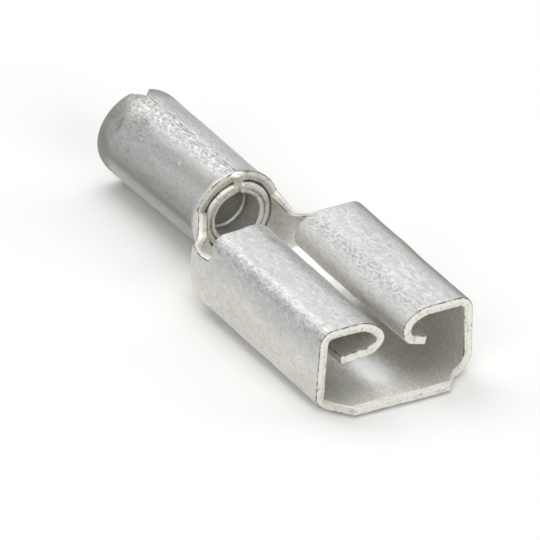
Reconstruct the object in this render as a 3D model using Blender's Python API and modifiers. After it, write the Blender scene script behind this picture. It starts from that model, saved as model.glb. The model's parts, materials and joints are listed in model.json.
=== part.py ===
"""An uninsulated female quick disconnect for a 4.75 x 0.8 mm tab and a 22 to 18 gauge wire.

One strip of sheet metal is folded into a receptacle at the front, drawn in through a neck and rolled
into a wire barrel at the back, where a second rolled strip lines it. X runs along the terminal towards
the mouth that takes the tab, Y across it and Z up. The strip is worked out as its outer surface, row by
row: a point of the flat strip keeps its distance from the middle line when the strip is bent.
"""

import math

import bmesh
import bpy
import numpy as np
from mathutils import Matrix, Vector

MM = 0.001

# The strip, and the receptacle that it is folded into
SHEET = 0.34 * MM
RECEPTACLE_LENGTH = 7.2 * MM
RECEPTACLE_WIDTH = 6.0 * MM
RECEPTACLE_HEIGHT = 2.88 * MM
LEFT_FOLD_RADIUS = 0.42 * MM
RIGHT_FOLD_RADIUS = 0.7 * MM
CROWN_FOLD_RADIUS = 0.53 * MM
WALL_LEAN = math.radians(2.0)

# The tongue in front of the floor, sheared a little off the middle
TONGUE_LENGTH = 0.95 * MM
LEFT_TONGUE_ROOT = 2.85 * MM
LEFT_TONGUE_TIP = 2.03 * MM
RIGHT_TONGUE_ROOT = 2.72 * MM
RIGHT_TONGUE_STEP = 2.2 * MM
RIGHT_TONGUE_TIP = 1.58 * MM
STEP_FROM_ROOT = 0.18 * MM
TONGUE_TIP_THICKNESS = 0.27 * MM
TONGUE_BEVEL = 0.1 * MM

# The two curls that press the tab down, each a crown, a shoulder, a nose, an underside and a return
LEFT_CURL_FROM_MIDDLE = 0.43 * MM
LEFT_SHOULDER_RADIUS = 1.15 * MM
LEFT_SHOULDER_TURN = math.radians(56)
LEFT_NOSE_RADIUS = 0.41 * MM
LEFT_NOSE_TURN = math.radians(66)
LEFT_UNDERSIDE_RADIUS = 0.8 * MM
LEFT_UNDERSIDE_TURN = math.radians(52)
LEFT_RETURN = 0.98 * MM
RIGHT_CURL_FROM_MIDDLE = 0.27 * MM
RIGHT_SHOULDER_RADIUS = 1.3 * MM
RIGHT_SHOULDER_TURN = math.radians(40)
RIGHT_NOSE_RADIUS = 0.66 * MM
RIGHT_NOSE_TURN = math.radians(70)
RIGHT_UNDERSIDE_RADIUS = 0.5 * MM
RIGHT_UNDERSIDE_TURN = math.radians(56)
RIGHT_RETURN = 0.5 * MM
ROOT_BELOW_CROWN = 0.17 * MM

# The neck and the barrel
NECK_LENGTH = 3.32 * MM
NECK_STRAIGHT = 0.5 * MM
NECK_WAIST = 2.72 * MM
WAIST_FROM_MOUTH = 0.7 * MM
WAIST_RISE_POWER = 0.8
CORNER_FILLET = 0.36 * MM
MOUTH_CORNER = 3.18 * MM
BARREL_LENGTH = 6.65 * MM
BARREL_MOUTH_RADIUS = 1.59 * MM
BARREL_END_RADIUS = 1.63 * MM
MOUTH_FLARE = 0.06 * MM
FLARE_LENGTH = 0.5 * MM
BARREL_AXIS_HEIGHT = 1.25 * MM
BARREL_DROOP = math.radians(1.2)
SEAM_GROOVE = 0.07 * MM
SEAM_NOTCH = 0.32 * MM
BRAZE_LUMP = (0.32 * MM, 0.3 * MM, 0.15 * MM)
LUMP_SINK = 0.12 * MM
BRAZE_RUN = (0.14 * MM, 0.25 * MM, 0.32 * MM)
RUN_ABOVE_BORE = 0.19 * MM

# The sleeve in the barrel
SLEEVE_CLEARANCE = 0.03 * MM
SLEEVE_SHEET = 0.37 * MM
SLEEVE_PROUD = 0.1 * MM
SLEEVE_LENGTH = 6.3 * MM
SLEEVE_LIP_RADIUS = 0.12 * MM
SLEEVE_SEAM = 0.15 * MM
SERRATIONS = 3
SERRATION_FROM_MOUTH = 1.0 * MM
SERRATION_PITCH = 1.4 * MM
SERRATION_WIDTH = 0.3 * MM
SERRATION_DEPTH = 0.1 * MM

# The detent that clicks into the hole of the tab
DETENT_FROM_FRONT = 3.6 * MM
DETENT_RADIUS = 0.9 * MM
DETENT_HEIGHT = 0.22 * MM
HOLLOW_RADIUS = 0.72 * MM
HOLLOW_HEIGHT = 0.2 * MM

EDGE_ROUNDING = 0.03 * MM
SHARPEST_SMOOTH_EDGE = math.radians(60)
FACET_TURN = math.radians(7)
SAME_POINT = 0.002 * MM
FINEST_STEP = 0.085 * MM

# Where the strip's stretches end along X
CURL_REAR = -RECEPTACLE_LENGTH
FILLET_START = CURL_REAR - CORNER_FILLET
BARREL_MOUTH = CURL_REAR - NECK_LENGTH
BARREL_END = BARREL_MOUTH - BARREL_LENGTH

# Faces along the strip, across it, and round the turned sleeve and the braze
BARREL_STEPS = 4
FLARE_STEPS = 3
NECK_STEPS = 17
FRONT_STEPS = 3
FLOOR_STEPS = 9
FOLD_STEPS = 5
WALL_STEPS = 7
WING_STEPS = 7
CURL_STEPS = (5, 2, 5, 5, 4, 2)
SLEEVE_STEPS = 48
LIP_TURNS = np.radians([0, 30, 60, 90])
FILLET_TURNS = np.radians([45, 90])
BRAZE_SEGMENTS = 16
BRAZE_RINGS = 10
DETENT_SEGMENTS = 24
DETENT_RINGS = 48
SAMPLES = 4001


class Side:
    """The bends of one half of the strip across the receptacle, from the middle line to the curl's tip.

    The shoulder, nose and underside of the curl are each a radius and a turn."""

    def __init__(self, fold_radius, from_middle, shoulder, nose, underside, return_length):
        upright = math.pi / 2 + WALL_LEAN
        floor = RECEPTACLE_WIDTH / 2 - fold_radius
        fold_rise = fold_radius * (1 - math.cos(upright))
        crown_rise = CROWN_FOLD_RADIUS * (1 + math.cos(upright))
        wall = (RECEPTACLE_HEIGHT - fold_rise - crown_rise) / math.sin(upright)
        crown_start = (
            floor
            + (fold_radius - CROWN_FOLD_RADIUS) * math.sin(upright)
            + wall * math.cos(upright)
        )
        shoulder_reach = shoulder[0] * math.sin(shoulder[1])
        nose_reach = nose[0] * (1 - math.sin(shoulder[1]))
        crown = crown_start - from_middle - shoulder_reach - nose_reach
        bends = [
            (floor, 0.0),
            (fold_radius * upright, upright),
            (wall, 0.0),
            (CROWN_FOLD_RADIUS * (math.pi - upright), math.pi - upright),
            (crown, 0.0),
        ]
        bends += [(radius * turn, turn) for radius, turn in (shoulder, nose, underside)]
        bends.append((return_length, 0.0))
        self.lengths = np.cumsum([0.0] + [length for length, turn in bends])
        self.headings = np.cumsum([0.0] + [turn for length, turn in bends])
        self.root = self.lengths[3] - ROOT_BELOW_CROWN
        half_barrel = math.pi * (max(BARREL_MOUTH_RADIUS, BARREL_END_RADIUS) + MOUTH_FLARE)
        self.reach = max(self.lengths[-1], half_barrel)

    def section(self, along, bend, radius):
        """Y and Z at each distance along the strip: its heading there is that of the folded receptacle,
        that of a circle of this radius, or between the two in the share given by bend."""
        fine = np.linspace(0.0, self.reach, SAMPLES)
        folded = np.interp(fine, self.lengths, self.headings)
        heading = (1 - bend) * folded + bend * fine / radius
        middle = (heading[1:] + heading[:-1]) / 2
        y = np.concatenate([[0.0], np.cumsum(np.cos(middle))]) * fine[1]
        z = np.concatenate([[0.0], np.cumsum(np.sin(middle))]) * fine[1]
        return np.interp(along, fine, y), np.interp(along, fine, z)


LEFT = Side(
    LEFT_FOLD_RADIUS,
    LEFT_CURL_FROM_MIDDLE,
    (LEFT_SHOULDER_RADIUS, LEFT_SHOULDER_TURN),
    (LEFT_NOSE_RADIUS, LEFT_NOSE_TURN),
    (LEFT_UNDERSIDE_RADIUS, LEFT_UNDERSIDE_TURN),
    LEFT_RETURN,
)
RIGHT = Side(
    RIGHT_FOLD_RADIUS,
    RIGHT_CURL_FROM_MIDDLE,
    (RIGHT_SHOULDER_RADIUS, RIGHT_SHOULDER_TURN),
    (RIGHT_NOSE_RADIUS, RIGHT_NOSE_TURN),
    (RIGHT_UNDERSIDE_RADIUS, RIGHT_UNDERSIDE_TURN),
    RIGHT_RETURN,
)


def blend(x, start, end, power=1.0):
    """0 up to start, 1 from end on, with a smooth change between them that comes early for a low power."""
    share = min(max((x - start) / (end - start), 0.0), 1.0) ** power
    return share * share * (3 - 2 * share)


def neck_bend(x):
    """0 in the receptacle and 1 in the barrel."""
    return blend(x, CURL_REAR - NECK_STRAIGHT, BARREL_MOUTH)


def mouth_flare(x):
    return MOUTH_FLARE * blend(x, BARREL_MOUTH - FLARE_LENGTH, BARREL_MOUTH)


def barrel_radius(x):
    share = min(max((BARREL_MOUTH - x) / BARREL_LENGTH, 0.0), 1.0)
    return BARREL_MOUTH_RADIUS + share * (BARREL_END_RADIUS - BARREL_MOUTH_RADIUS) + mouth_flare(x)


def barrel_axis_height(x):
    return BARREL_AXIS_HEIGHT + min(x - BARREL_MOUTH, 0.0) * math.tan(BARREL_DROOP)


def bottom_height(x):
    return neck_bend(x) * (barrel_axis_height(x) - barrel_radius(x))


def cut_edge(x, side):
    """Half the width of the flat strip's middle part: it narrows from the barrel's mouth to the waist, widens
    from there, and turns through a fillet into the rear edge of the curl at the curl's root."""
    waist = BARREL_MOUTH + WAIST_FROM_MOUTH
    if x < waist:
        return NECK_WAIST + (MOUTH_CORNER - NECK_WAIST) * blend(x, waist, BARREL_MOUTH)
    rise = blend(x, waist, FILLET_START, WAIST_RISE_POWER)
    into_fillet = min(max(x - FILLET_START, 0.0), CORNER_FILLET)
    fillet = CORNER_FILLET - math.sqrt(CORNER_FILLET**2 - into_fillet**2)
    return NECK_WAIST + (side.root - CORNER_FILLET - NECK_WAIST) * rise + fillet


def row(x, along, side, sign):
    """The points of one half row at these distances from the middle line."""
    y, z = side.section(along, neck_bend(x), barrel_radius(x))
    return np.stack([np.full(len(along), x), sign * y, z + bottom_height(x)], axis=1)


def stations(side, steps, first=0):
    """Distances along the bends of one side, with this many steps in each stretch."""
    ends = side.lengths[first : first + len(steps) + 1]
    pieces = [np.linspace(a, b, n, endpoint=False) for a, b, n in zip(ends[:-1], ends[1:], steps)]
    return np.concatenate(pieces + [ends[-1:]])


def with_stops(along, stops):
    """These distances with the stops added, without those that lie close to a stop."""
    clear = [a for a in along if min(abs(a - stop) for stop in stops) > FINEST_STEP]
    return np.array(sorted(set(clear + list(stops))))


def add_patch(bm, rows):
    """A grid of faces whose rows run across the strip from -Y to +Y, seen from outside."""
    grid = [[bm.verts.new(point) for point in points] for points in rows]
    for back, front in zip(grid[:-1], grid[1:]):
        for i in range(len(back) - 1):
            bm.faces.new((back[i], back[i + 1], front[i + 1], front[i]))


def material(name, colour, roughness):
    made = bpy.data.materials.new(name)
    made.use_nodes = True
    shader = made.node_tree.nodes["Principled BSDF"]
    shader.inputs["Base Color"].default_value = (*colour, 1.0)
    shader.inputs["Roughness"].default_value = roughness
    shader.inputs["Metallic"].default_value = 1.0
    return made


def new_object(name, mesh, collection, parent):
    made = bpy.data.objects.new(name, mesh)
    collection.objects.link(made)
    made.parent = parent
    return made


def new_cutter(name, bm, place):
    """A helper body for a Boolean, left out of the part. Its place is put into its mesh."""
    bm.transform(place)
    mesh = bpy.data.meshes.new(name)
    bm.to_mesh(mesh)
    bm.free()
    made = new_object(name, mesh, cutters, rest)
    made.hide_render = True
    made.display_type = "WIRE"
    return made


def box_cutter(name, size, place):
    bm = bmesh.new()
    bmesh.ops.create_cube(bm, size=1.0)
    bm.transform(Matrix.Diagonal((*size, 1.0)))
    return new_cutter(name, bm, place)


def boolean(target, cutter, operation):
    modifier = target.modifiers.new(cutter.name, "BOOLEAN")
    modifier.operation = operation
    modifier.object = cutter


for old in list(bpy.data.objects):
    bpy.data.objects.remove(old, do_unlink=True)

part = bpy.data.collections.new("female_quick_disconnect")
cutters = bpy.data.collections.new("cutters")
bpy.context.scene.collection.children.link(part)
bpy.context.scene.collection.children.link(cutters)
rest = bpy.data.objects.new("rest", None)
part.objects.link(rest)


def core_stations(side, tongue_root):
    """Distances along one half of the middle part, from its middle line to the curl's root."""
    folded = stations(side, (FLOOR_STEPS, FOLD_STEPS))
    upright = np.linspace(folded[-1], side.root, WALL_STEPS + 1)[1:]
    return with_stops(np.concatenate([folded, upright]), (0.0, tongue_root, side.root))


def tongue_widths(x):
    """How far the tongue reaches from the middle line to the left and to the right at x."""
    left = np.interp(x, (0.0, TONGUE_LENGTH), (LEFT_TONGUE_ROOT, LEFT_TONGUE_TIP))
    right = np.interp(
        x,
        (0.0, STEP_FROM_ROOT, TONGUE_LENGTH),
        (RIGHT_TONGUE_ROOT, RIGHT_TONGUE_STEP, RIGHT_TONGUE_TIP),
    )
    return left, right


def body_sheet():
    """The outer surface of the whole strip as one open mesh."""
    bm = bmesh.new()
    flare_rows = np.linspace(BARREL_MOUTH - FLARE_LENGTH, BARREL_MOUTH, FLARE_STEPS + 1)
    barrel_rows = np.linspace(BARREL_END, flare_rows[0], BARREL_STEPS + 1)
    end_rows = np.concatenate([barrel_rows, flare_rows[1:]])
    neck_rows = np.linspace(BARREL_MOUTH, FILLET_START, NECK_STEPS + 1)
    fillet_rows = FILLET_START + CORNER_FILLET * np.sin(FILLET_TURNS)
    front_rows = np.linspace(CURL_REAR, 0.0, FRONT_STEPS + 1)
    left_half = core_stations(LEFT, LEFT_TONGUE_ROOT)
    right_half = core_stations(RIGHT, RIGHT_TONGUE_ROOT)
    core = []
    for x in np.concatenate([end_rows, neck_rows[1:], fillet_rows, front_rows[1:]]):
        left = row(x, left_half * cut_edge(x, LEFT) / LEFT.root, LEFT, -1)
        right = row(x, right_half * cut_edge(x, RIGHT) / RIGHT.root, RIGHT, 1)
        core.append(np.concatenate([left[:0:-1], right]))
    add_patch(bm, core)

    tongue = []
    for x in (0.0, STEP_FROM_ROOT, TONGUE_LENGTH / 2, TONGUE_LENGTH - TONGUE_BEVEL, TONGUE_LENGTH):
        left_width, right_width = tongue_widths(x)
        left_share = left_half[left_half <= LEFT_TONGUE_ROOT] / LEFT_TONGUE_ROOT
        right_share = right_half[right_half <= RIGHT_TONGUE_ROOT] / RIGHT_TONGUE_ROOT
        left = row(x, left_share * left_width, LEFT, -1)
        right = row(x, right_share * right_width, RIGHT, 1)
        tongue.append(np.concatenate([left[:0:-1], right]))
    add_patch(bm, tongue)

    for side, sign in ((LEFT, -1), (RIGHT, 1)):
        barrel_wing = []
        for x in end_rows:
            seam = math.pi * barrel_radius(x)
            along = np.append(np.linspace(MOUTH_CORNER, seam - SEAM_NOTCH, WING_STEPS + 1), seam)
            points = row(x, along, side, sign)
            points[-1, 1] = 0.0
            if x == BARREL_END:
                points[-1, 0] += SEAM_NOTCH
            barrel_wing.append(points[::sign])
        add_patch(bm, barrel_wing)
        curl = np.concatenate([[side.root], stations(side, CURL_STEPS, 3)])
        curl_wing = [row(x, curl, side, sign)[::sign] for x in front_rows]
        add_patch(bm, curl_wing)

    bmesh.ops.remove_doubles(bm, verts=bm.verts, dist=SAME_POINT)
    mesh = bpy.data.meshes.new("terminal_body")
    bm.to_mesh(mesh)
    bm.free()
    return mesh


def make_body():
    body = new_object("terminal_body", body_sheet(), part, rest)
    thick = body.vertex_groups.new(name="full_thickness")
    for vertex in body.data.vertices:
        at_tip = vertex.co.x > TONGUE_LENGTH - TONGUE_BEVEL / 2
        thick.add([vertex.index], TONGUE_TIP_THICKNESS / SHEET if at_tip else 1.0, "REPLACE")
    solidify = body.modifiers.new("sheet", "SOLIDIFY")
    solidify.thickness = SHEET
    solidify.offset = -1.0
    solidify.use_even_offset = True
    solidify.vertex_group = thick.name
    body.data.materials.append(material("tinned_brass", (0.78, 0.77, 0.75), 0.42))
    return body


body = make_body()


def barrel_place(x, above):
    """The place on the barrel's axis at x, this far above it, turned along the axis."""
    at = Vector((x, 0.0, barrel_axis_height(x) + above))
    return Matrix.Translation(at) @ Matrix.Rotation(-BARREL_DROOP, 4, "Y")


def make_sleeve():
    """A turned tube on the barrel's axis. It flares with the barrel's mouth, and has round lips and a
    serrated bore."""
    outer = BARREL_MOUTH_RADIUS - SHEET - SLEEVE_CLEARANCE
    bore = outer - SLEEVE_SHEET
    front = SLEEVE_PROUD
    rear = front - SLEEVE_LENGTH
    lip = SLEEVE_LIP_RADIUS
    mouth = outer + MOUTH_FLARE
    profile = [(mouth - lip + lip * math.sin(a), front - lip + lip * math.cos(a)) for a in LIP_TURNS]
    for step in range(1, FLARE_STEPS + 1):
        behind = FLARE_LENGTH * step / FLARE_STEPS
        profile.append((outer + mouth_flare(BARREL_MOUTH - behind), -behind))
    profile += [(outer - lip + lip * math.cos(a), rear + lip - lip * math.sin(a)) for a in LIP_TURNS]
    profile += [(bore + lip - lip * math.sin(a), rear + lip - lip * math.cos(a)) for a in LIP_TURNS]
    for i in reversed(range(SERRATIONS)):
        middle = front - SERRATION_FROM_MOUTH - i * SERRATION_PITCH
        half = SERRATION_WIDTH / 2
        profile.append((bore, middle - half))
        profile.append((bore + SERRATION_DEPTH, middle - half / 2))
        profile.append((bore + SERRATION_DEPTH, middle + half / 2))
        profile.append((bore, middle + half))
    profile += [(bore + lip - lip * math.cos(a), front - lip + lip * math.sin(a)) for a in LIP_TURNS]
    bm = bmesh.new()
    points = [bm.verts.new((radius, 0.0, height)) for radius, height in profile]
    for a, b in zip(points, points[1:] + points[:1]):
        bm.edges.new((a, b))
    mesh = bpy.data.meshes.new("barrel_sleeve")
    bm.to_mesh(mesh)
    bm.free()
    sleeve = new_object("barrel_sleeve", mesh, part, rest)
    sleeve.matrix_local = barrel_place(BARREL_MOUTH, 0.0) @ Matrix.Rotation(math.pi / 2, 4, "Y")
    screw = sleeve.modifiers.new("turned", "SCREW")
    screw.steps = SLEEVE_STEPS
    screw.render_steps = SLEEVE_STEPS
    screw.use_merge_vertices = True
    screw.merge_threshold = SAME_POINT
    sleeve.data.materials.append(material("tinned_copper", (0.74, 0.72, 0.68), 0.38))
    return sleeve, outer, bore


sleeve, sleeve_radius, bore_radius = make_sleeve()


def top_line_place(share, above):
    """A place on the barrel's top line, this share of the way from its mouth to its end, turned along it."""
    mouth = Vector((BARREL_MOUTH, 0.0, barrel_axis_height(BARREL_MOUTH) + BARREL_MOUTH_RADIUS))
    end = Vector((BARREL_END, 0.0, barrel_axis_height(BARREL_END) + BARREL_END_RADIUS))
    slope = math.atan2(mouth.z - end.z, mouth.x - end.x)
    at = mouth.lerp(end, share) + Vector((0.0, 0.0, above))
    return Matrix.Translation(at) @ Matrix.Rotation(-slope, 4, "Y")


def cut_seams():
    """The barrel's butt seam is a fine groove along its top; the sleeve's runs along the top of its bore."""
    side = SEAM_GROOVE * 2
    on_edge = Matrix.Rotation(math.pi / 4, 4, "X")
    lift = side / math.sqrt(2) - SEAM_GROOVE
    from_lump = 0.5 + BRAZE_LUMP[0] / 2 / BARREL_LENGTH
    groove = box_cutter(
        "seam_groove", (BARREL_LENGTH, side, side), top_line_place(from_lump, lift) @ on_edge
    )
    boolean(body, groove, "DIFFERENCE")
    side = SLEEVE_SEAM * math.sqrt(2)
    inner = box_cutter(
        "sleeve_seam_groove",
        (SLEEVE_LENGTH * 2, side, side),
        barrel_place(BARREL_MOUTH - SLEEVE_LENGTH / 2, bore_radius) @ on_edge,
    )
    boolean(sleeve, inner, "DIFFERENCE")


def ellipsoid(name, radii, place):
    """A ball stretched to these radii. Its facets are turned, so that none lies in a face of the barrel."""
    bm = bmesh.new()
    bmesh.ops.create_uvsphere(bm, u_segments=BRAZE_SEGMENTS, v_segments=BRAZE_RINGS, radius=1.0)
    bm.transform(Matrix.Diagonal((*radii, 1.0)) @ Matrix.Rotation(FACET_TURN, 4, "Z"))
    return new_cutter(name, bm, place)


def add_braze():
    """The braze ran out of the seam at the mouth, and set as a lump on its edge and a run down the sleeve's
    front. Both keep half the sleeve's clearance to it."""
    gap = SLEEVE_CLEARANCE / 2
    bm = bmesh.new()
    bmesh.ops.create_cone(
        bm,
        cap_ends=True,
        segments=SLEEVE_STEPS,
        radius1=sleeve_radius + MOUTH_FLARE + gap,
        radius2=sleeve_radius + MOUTH_FLARE + gap,
        depth=SLEEVE_LENGTH,
    )
    bm.transform(Matrix.Rotation(math.pi / 2, 4, "Y"))
    sleeve_middle = barrel_place(BARREL_MOUTH, 0.0) @ Matrix.Translation(
        (SLEEVE_PROUD + gap - SLEEVE_LENGTH / 2, 0.0, 0.0)
    )
    envelope = new_cutter("sleeve_envelope", bm, sleeve_middle)
    run_middle = bore_radius + RUN_ABOVE_BORE + BRAZE_RUN[2]
    sleeve_front = Matrix.Translation((SLEEVE_PROUD, 0.0, 0.0))
    run = ellipsoid("braze_run", BRAZE_RUN, barrel_place(BARREL_MOUTH, run_middle) @ sleeve_front)
    lump = ellipsoid("braze_lump", BRAZE_LUMP, top_line_place(0.0, MOUTH_FLARE - LUMP_SINK))
    boolean(lump, run, "UNION")
    boolean(lump, envelope, "DIFFERENCE")
    boolean(body, lump, "UNION")


def cap_cutter(name, radius, height, base):
    """The cap of a sphere that stands this high over a base of this radius, with its skirt below it."""
    ball = (radius**2 + height**2) / (2 * height)
    centre = Vector((-DETENT_FROM_FRONT, 0.0, base + height - ball))
    bm = bmesh.new()
    bmesh.ops.create_uvsphere(bm, u_segments=DETENT_SEGMENTS, v_segments=DETENT_RINGS, radius=ball)
    skirt = Vector((0.0, 0.0, ball - height - SHEET / 2))
    bmesh.ops.bisect_plane(
        bm,
        geom=bm.verts[:] + bm.edges[:] + bm.faces[:],
        plane_co=skirt,
        plane_no=Vector((0.0, 0.0, 1.0)),
        clear_inner=True,
    )
    bmesh.ops.holes_fill(bm, edges=[edge for edge in bm.edges if edge.is_boundary])
    return new_cutter(name, bm, Matrix.Translation(centre))


def add_detent():
    """A round boss pressed up out of the floor, hollow underneath."""
    boolean(body, cap_cutter("detent_boss", DETENT_RADIUS, DETENT_HEIGHT, SHEET), "UNION")
    hollow = cap_cutter("detent_hollow", HOLLOW_RADIUS, HOLLOW_HEIGHT, 0.0)
    boolean(body, hollow, "DIFFERENCE")


def set_down():
    """Tips the terminal onto its tongue and the end of its barrel, and puts the origin under its middle."""
    low_end = barrel_radius(BARREL_END) - barrel_axis_height(BARREL_END)
    rest.rotation_euler.y = math.atan2(low_end, TONGUE_LENGTH - BARREL_END)
    bpy.context.view_layer.update()
    graph = bpy.context.evaluated_depsgraph_get()
    corners = []
    for made in (body, sleeve):
        evaluated = made.evaluated_get(graph)
        points = np.array([evaluated.matrix_world @ v.co for v in evaluated.data.vertices])
        corners += [points.min(axis=0), points.max(axis=0)]
    low = np.min(corners, axis=0)
    high = np.max(corners, axis=0)
    rest.location = (-(low[0] + high[0]) / 2, -(low[1] + high[1]) / 2, -low[2])


def round_edges():
    rounding = body.modifiers.new("sheared_edges", "BEVEL")
    rounding.width = EDGE_ROUNDING
    rounding.segments = 1
    rounding.limit_method = "ANGLE"
    rounding.angle_limit = SHARPEST_SMOOTH_EDGE


round_edges()
add_detent()
add_braze()
cut_seams()
for made in (body, sleeve):
    made.data.shade_smooth()
set_down()
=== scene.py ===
"""The looks of a bare female quick disconnect: its folded strip, the lining of its barrel and its braze.

Lengths are in mm until a piece is put in its place. X runs towards the mouth that takes the tab, Z up.
"""

import json
import math

import bpy
import numpy as np
from mathutils import Matrix, Vector


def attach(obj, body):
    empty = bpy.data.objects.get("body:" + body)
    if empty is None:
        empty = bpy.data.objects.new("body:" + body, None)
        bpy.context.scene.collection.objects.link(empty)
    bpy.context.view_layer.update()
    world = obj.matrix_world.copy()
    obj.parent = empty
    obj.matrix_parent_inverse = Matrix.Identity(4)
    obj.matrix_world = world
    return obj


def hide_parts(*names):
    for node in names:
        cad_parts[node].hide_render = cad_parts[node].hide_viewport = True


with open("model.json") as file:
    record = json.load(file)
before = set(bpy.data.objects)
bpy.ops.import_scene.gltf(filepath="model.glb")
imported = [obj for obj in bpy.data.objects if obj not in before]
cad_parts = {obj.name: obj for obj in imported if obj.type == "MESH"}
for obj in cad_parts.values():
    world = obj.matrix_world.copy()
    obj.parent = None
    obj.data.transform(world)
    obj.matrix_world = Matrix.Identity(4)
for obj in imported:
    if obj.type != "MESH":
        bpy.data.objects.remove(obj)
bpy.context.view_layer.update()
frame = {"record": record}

# The place of the terminal
# It lies on its front tongue and on the end of its barrel, so that its floor tips by a degree and a half.
# The mount on the floor's underside tells that tip, and where the middle of the walls' front edges lies.
MM = 0.001
MOUNT_BEHIND_FRONT = 5.5
mount = frame["record"]["mounts"][0]
tip = math.atan2(-mount["axis"][0], -mount["axis"][2])
tipped = Matrix.Rotation(tip, 4, "Y")
front = Vector(mount["pos_m"]) + tipped @ Vector((MOUNT_BEHIND_FRONT * MM, 0.0, 0.0))
as_it_lies = Matrix.Translation(front) @ tipped @ Matrix.Scale(MM, 4)


def set_down(points):
    """Points of the straight terminal in mm, as points of the resting one in metres."""
    place = np.array(as_it_lies)
    return points @ place[:3, :3].T + place[:3, 3]


# The folded strip
# One strip of brass, 0.34 mm thick, is sheared to its outline, tinned, and folded up and over into the
# receptacle's two curls; behind its neck the same strip is rolled into the barrel, edge to edge.
SHEET = 0.34
EDGE = 0.05
WIDTH = 6.0
HEIGHT = 2.88
WALL_UPRIGHT = math.radians(92)
CROWN_RADIUS = 0.53
ROOT_BELOW_CROWN = 0.17
CURL_REAR = -7.2
CURL_FILLET = 0.36
CURL_SKEW = 0.33
NECK_STRAIGHT = 0.5
WAIST = 2.72
WAIST_FROM_MOUTH = 0.7
WAIST_RISE_POWER = 0.8
BARREL_MOUTH = -10.52
BARREL_END = -17.17
MOUTH_CORNER = 3.18
MOUTH_RADIUS = 1.59
END_RADIUS = 1.63
FLARE = 0.06
FLARE_LENGTH = 0.5
AXIS_HEIGHT = 1.25
DROOP = math.radians(1.2)
SEAM_NOTCH = 0.32
SEAM_GAP = 0.012
TONGUE = 0.95
TONGUE_BEVEL = 0.08
TONGUE_TIP = 0.27
DETENT_X = -3.6
# Over what length the barrel's end is drawn in, and how far
END_ROUND = (0.35, 0.06)
# The radius and the height of the detent's boss, and of the hollow under it
BOSS = (0.9, 0.22)
HOLLOW = (0.72, 0.2)
# Half the tongue's width, at distances in front of the walls
LEFT_TONGUE = ((0.0, 2.85), (0.95, 2.03))
RIGHT_TONGUE = ((0.0, 2.72), (0.18, 2.2), (0.95, 1.58))
# The radius and the turn of a curl's shoulder, nose and underside
LEFT_CURL = ((1.15, math.radians(56)), (0.41, math.radians(66)), (0.8, math.radians(52)))
RIGHT_CURL = ((1.3, math.radians(40)), (0.66, math.radians(70)), (0.5, math.radians(56)))
# The bends of each half, in their order from the middle line
FLOOR, FOLD, WALL, CROWN_FOLD, CROWN, SHOULDER, NOSE, UNDERSIDE, RETURN = range(9)


class Half:
    """Half of the strip's outline and its bends, from the middle line out to the curl's tip.

    A bend is a length and the turn along it. The wall and the crown are as long as the folded height and
    width leave."""

    def __init__(self, sign, fold, from_middle, curl, return_length, tongue):
        rise = fold * (1 - math.cos(WALL_UPRIGHT))
        drop = CROWN_RADIUS * (1 + math.cos(WALL_UPRIGHT))
        wall = (HEIGHT - rise - drop) / math.sin(WALL_UPRIGHT)
        lean = (fold - CROWN_RADIUS) * math.sin(WALL_UPRIGHT) + wall * math.cos(WALL_UPRIGHT)
        (shoulder, shoulder_turn), (nose, nose_turn), (under, under_turn) = curl
        reach = shoulder * math.sin(shoulder_turn) + nose * (1 - math.sin(shoulder_turn))
        over = math.pi - WALL_UPRIGHT
        self.bends = (
            (WIDTH / 2 - fold, 0.0),
            (fold * WALL_UPRIGHT, WALL_UPRIGHT),
            (wall, 0.0),
            (CROWN_RADIUS * over, over),
            (WIDTH / 2 - fold + lean - from_middle - reach, 0.0),
            (shoulder * shoulder_turn, shoulder_turn),
            (nose * nose_turn, nose_turn),
            (under * under_turn, under_turn),
            (return_length, 0.0),
        )
        self.sign = sign
        self.starts = np.cumsum([0.0] + [length for length, turn in self.bends])
        self.turns = np.cumsum([0.0] + [turn for length, turn in self.bends])
        self.root = self.starts[CROWN_FOLD] - ROOT_BELOW_CROWN
        self.tongue = np.array(tongue)

    def section(self, x, along):
        """Y, Z and heading at a distance along the strip. Each bend is an arc, which adds its chord: its
        length times the sinc of half its turn, in the direction that it has halfway. The heading changes
        from the folded receptacle's to that of the barrel's circle through the neck."""
        rolled = neck_bend(x)
        radius = barrel_radius(x)
        y = 0.0
        z = 0.0
        for start, begun, (length, turn) in zip(self.starts, self.turns, self.bends):
            done = np.clip(along - start, 0.0, length)
            curving = (1 - rolled) * turn / length + rolled / radius
            halfway = (1 - rolled) * begun + rolled * start / radius + curving * done / 2
            chord = done * np.sinc(curving * done / 2 / math.pi)
            y = y + chord * np.cos(halfway)
            z = z + chord * np.sin(halfway)
        heading = (1 - rolled) * np.interp(along, self.starts, self.turns) + rolled * along / radius
        bottom = rolled * (axis_height(x) - radius)
        return self.sign * y, z + bottom, heading

    def cut_edge(self, x):
        """Half the outline's width from the barrel's mouth to the curls, drawn in by the edge's rounding:
        down to the waist, up again, and round a fillet into the curl's rear edge."""
        waist = BARREL_MOUTH + WAIST_FROM_MOUTH
        before = WAIST + (MOUTH_CORNER - WAIST) * smooth(x, waist, BARREL_MOUTH)
        start = CURL_REAR - CURL_FILLET
        radius = CURL_FILLET + EDGE
        fillet = radius - np.sqrt(radius**2 - np.clip(x - start, 0.0, radius) ** 2)
        rising = smooth(x, waist, start, WAIST_RISE_POWER)
        after = WAIST + (self.root - CURL_FILLET - WAIST) * rising + fillet
        return np.where(x < waist, before, after) - EDGE

    def stations(self, first, steps):
        """Distances along the bends from this one on, with this many steps in each."""
        ends = self.starts[first : first + len(steps) + 1]
        runs = [np.linspace(a, b, n, endpoint=False) for a, b, n in zip(ends, ends[1:], steps)]
        return np.concatenate(runs + [ends[-1:]])


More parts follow.
